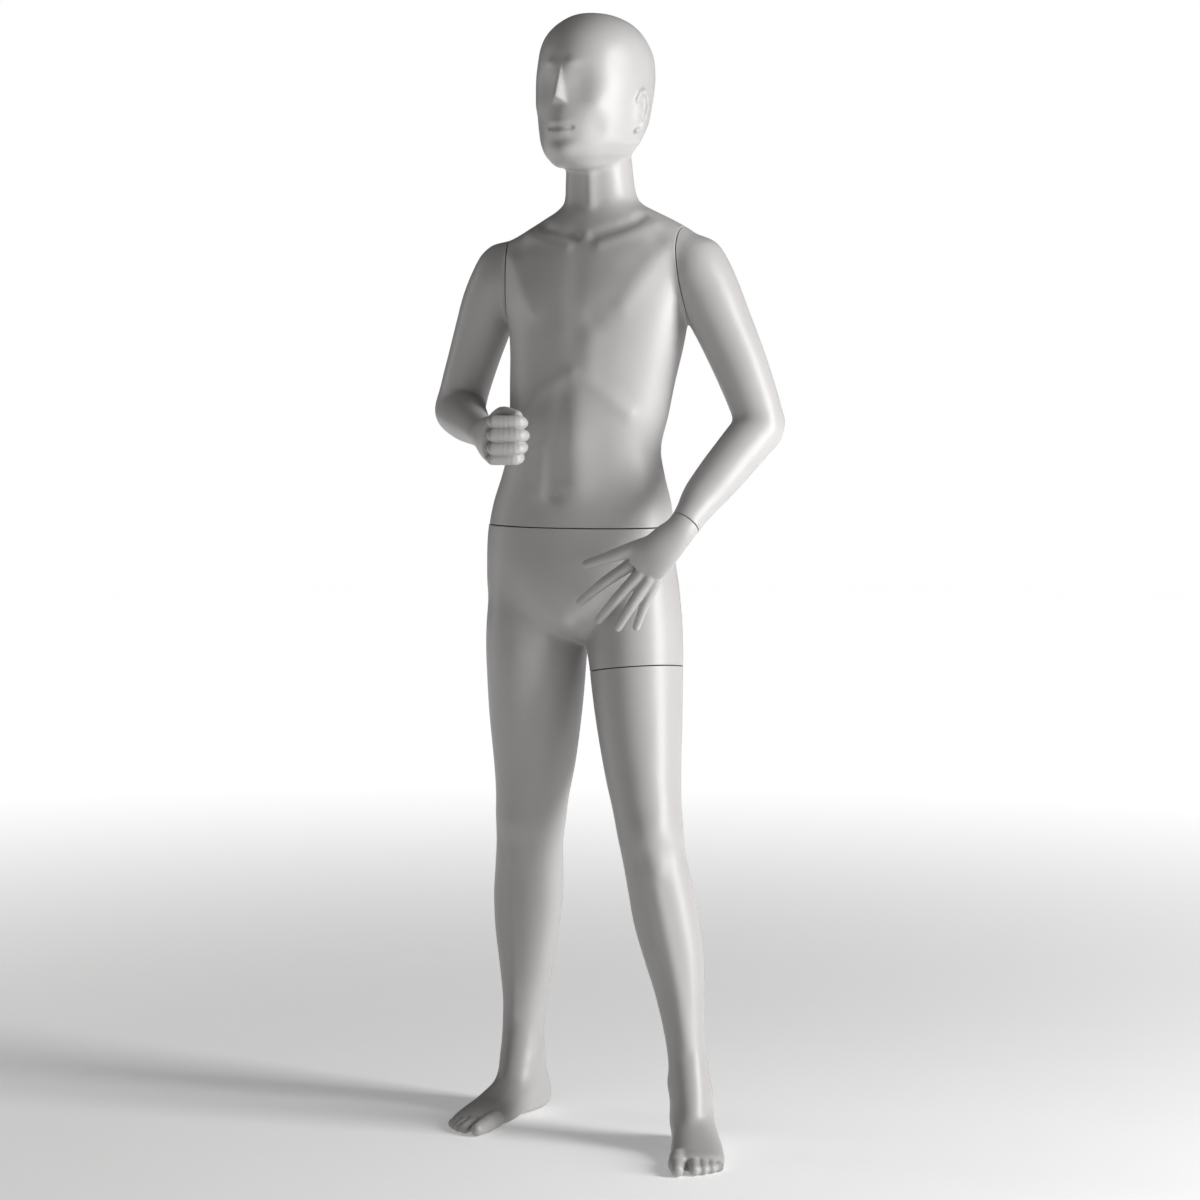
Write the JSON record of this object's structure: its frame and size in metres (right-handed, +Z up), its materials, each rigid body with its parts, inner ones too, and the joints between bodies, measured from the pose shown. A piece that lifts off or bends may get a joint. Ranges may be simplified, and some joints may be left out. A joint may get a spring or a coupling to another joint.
{
  "type": "full body mannequin",
  "caption": "Standing child mannequin with one hand at the hip and one fist raised, in plug-in shells that part at the waist, shoulders, wrists and one thigh.",
  "frame": {"origin": "on the floor, midway across the figure's width and depth", "axes": "+Z up, the figure faces -Y, +X towards its own left hand"},
  "size_m": [0.4624, 0.3263, 1.3945],
  "materials": {
    "body_shell": "fine satin spray finish, mid grey",
    "closing_plate": "plain moulded, dark grey",
    "fitting_plastic": "moulded nylon, black",
    "fitting_steel": "turned and milled steel",
    "ring_brass": "turned",
    "magnet_nickel": "nickel plated magnet"
  },
  "bodies": {
    "lower_body": {"lower_body_shell": "body_shell", "pelvis_top_plate": "closing_plate", "pelvis_thigh_plate": "closing_plate", "waist_socket": "fitting_plastic", "waist_ring": "ring_brass", "waist_magnet": "magnet_nickel", "thigh_socket": "fitting_plastic", "thigh_magnet": "magnet_nickel", "lower_body_screws": "fitting_steel", "foot_socket_tube": "fitting_steel"},
    "waist_turning_hub": {"waist_hub": "fitting_steel"},
    "upper_body": {"upper_body_shell": "body_shell", "torso_base_plate": "closing_plate", "torso_left_shoulder_plate": "closing_plate", "torso_right_shoulder_plate": "closing_plate", "left_shoulder_socket": "fitting_plastic", "right_shoulder_socket": "fitting_plastic", "left_shoulder_ring": "ring_brass", "right_shoulder_ring": "ring_brass", "left_shoulder_magnet": "magnet_nickel", "right_shoulder_magnet": "magnet_nickel", "waist_peg": "fitting_steel", "upper_body_screws": "fitting_steel"},
    "left_leg": {"left_leg_shell": "body_shell", "left_leg_top_plate": "closing_plate", "thigh_peg": "fitting_steel", "left_leg_screws": "fitting_steel"},
    "left_shoulder_turning_hub": {"left_shoulder_hub": "fitting_steel"},
    "left_arm": {"left_arm_shell": "body_shell", "left_arm_top_plate": "closing_plate", "left_arm_wrist_plate": "closing_plate", "left_shoulder_peg": "fitting_steel", "left_wrist_socket": "fitting_plastic", "left_wrist_ring": "ring_brass", "left_wrist_magnet": "magnet_nickel", "left_arm_screws": "fitting_steel"},
    "left_wrist_turning_hub": {"left_wrist_hub": "fitting_steel"},
    "left_hand_body": {"left_hand": "body_shell", "left_wrist_peg": "fitting_steel"},
    "right_shoulder_turning_hub": {"right_shoulder_hub": "fitting_steel"},
    "right_arm": {"right_arm_shell": "body_shell", "right_arm_top_plate": "closing_plate", "right_arm_wrist_plate": "closing_plate", "right_shoulder_peg": "fitting_steel", "right_wrist_socket": "fitting_plastic", "right_wrist_ring": "ring_brass", "right_wrist_magnet": "magnet_nickel", "right_arm_screws": "fitting_steel"},
    "right_wrist_turning_hub": {"right_wrist_hub": "fitting_steel"},
    "right_hand_body": {"right_hand": "body_shell", "right_wrist_peg": "fitting_steel"}
  },
  "joints": [
    {"name": "waist_turn", "type": "hinge", "parent": "lower_body", "child": "waist_turning_hub", "pos_m": [-0.024, 0.054, 0.763], "axis": [0, 0, 1], "range_deg": [-30, 0]},
    {"name": "waist_lift", "type": "slide", "parent": "waist_turning_hub", "child": "upper_body", "axis": [0, 0, 1], "range_m": [0, 0.08]},
    {"name": "left_shoulder_turn", "type": "hinge", "parent": "upper_body", "child": "left_shoulder_turning_hub", "pos_m": [0.112, 0.062, 1.08], "axis": [0.9901, -0.0743, 0.1188], "range_deg": [-40, 0]},
    {"name": "left_arm_pull", "type": "slide", "parent": "left_shoulder_turning_hub", "child": "left_arm", "axis": [0.9901, -0.0743, 0.1188], "range_m": [0, 0.06]},
    {"name": "left_wrist_turn", "type": "hinge", "parent": "left_arm", "child": "left_wrist_turning_hub", "pos_m": [0.142, -0.038, 0.774], "axis": [-0.3811, -0.6017, -0.702], "range_deg": [-30, 0]},
    {"name": "left_hand_pull", "type": "slide", "parent": "left_wrist_turning_hub", "child": "left_hand_body", "axis": [-0.3811, -0.6017, -0.702], "range_m": [0, 0.03]},
    {"name": "right_shoulder_turn", "type": "hinge", "parent": "upper_body", "child": "right_shoulder_turning_hub", "pos_m": [-0.125, 0.062, 1.068], "axis": [-0.9715, -0.237, 0], "range_deg": [0, 40]},
    {"name": "right_arm_pull", "type": "slide", "parent": "right_shoulder_turning_hub", "child": "right_arm", "axis": [-0.9715, -0.237, 0], "range_m": [0, 0.06]},
    {"name": "right_wrist_turn", "type": "hinge", "parent": "right_arm", "child": "right_wrist_turning_hub", "pos_m": [-0.106, -0.075, 0.88], "axis": [0.5123, -0.8488, -0.1306], "range_deg": [-30, 30]},
    {"name": "right_hand_pull", "type": "slide", "parent": "right_wrist_turning_hub", "child": "right_hand_body", "axis": [0.5123, -0.8488, -0.1306], "range_m": [0, 0.03]},
    {"name": "left_leg_pull", "type": "slide", "parent": "lower_body", "child": "left_leg", "axis": [0.1071, -0.1301, -0.9857], "range_m": [0, 0.06]}
  ]
}
